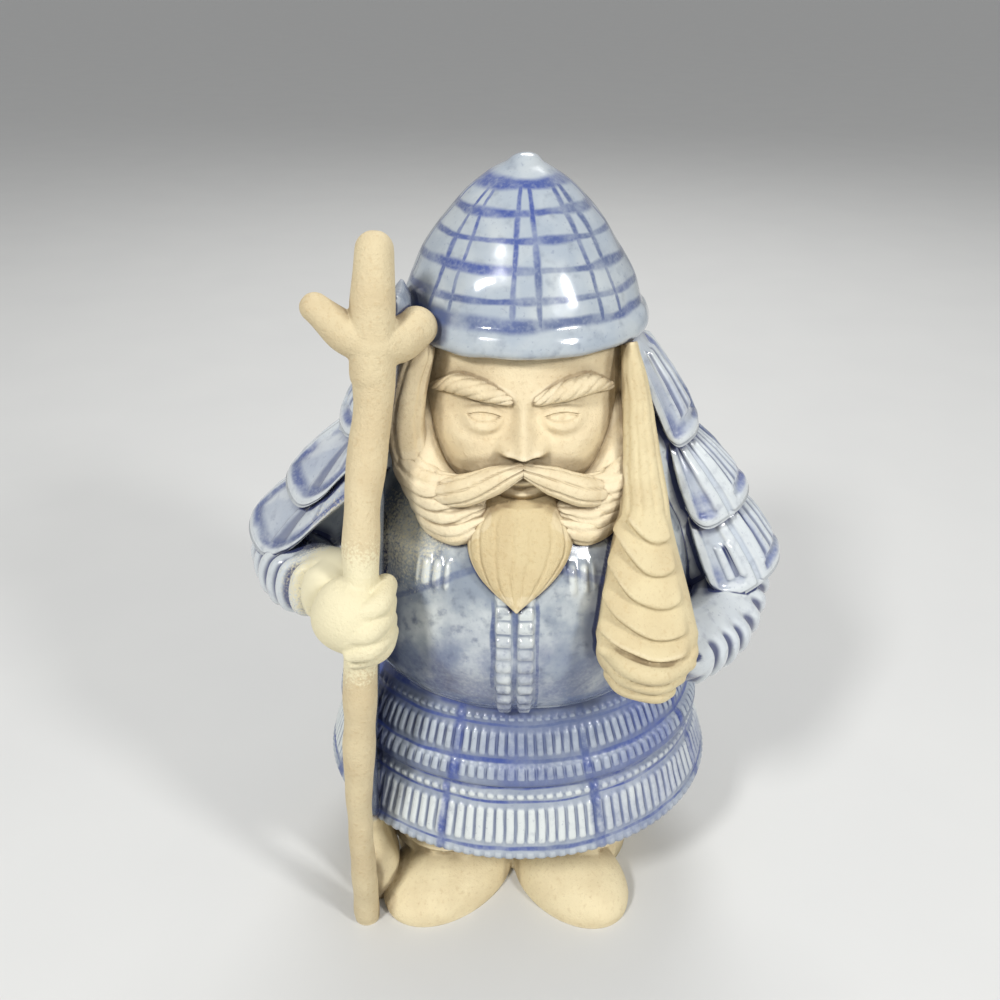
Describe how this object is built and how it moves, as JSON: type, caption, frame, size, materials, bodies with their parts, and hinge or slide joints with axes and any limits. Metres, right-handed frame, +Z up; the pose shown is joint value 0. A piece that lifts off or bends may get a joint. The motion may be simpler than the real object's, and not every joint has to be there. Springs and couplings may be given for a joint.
{
  "type": "earthenware warrior figure",
  "caption": "Small glazed stoneware figure of an armoured warrior in a domed helmet, with a trident staff and a long side beard.",
  "frame": {"origin": "on the ground, under the middle of the figure's outline", "axes": "+Z up, the figure looks along -Y, +X towards its left hand, which holds the long lock"},
  "size_m": [0.0901, 0.0691, 0.1249],
  "materials": {
    "stoneware": "buff sandy stoneware left bare on face, beards, hands, staff, legs and shoes; glossy pale grey-blue glaze with brushed cobalt lines on helmet, armour and skirt"
  },
  "bodies": {
    "root": {"warrior_figure": "stoneware"}
  },
  "joints": []
}
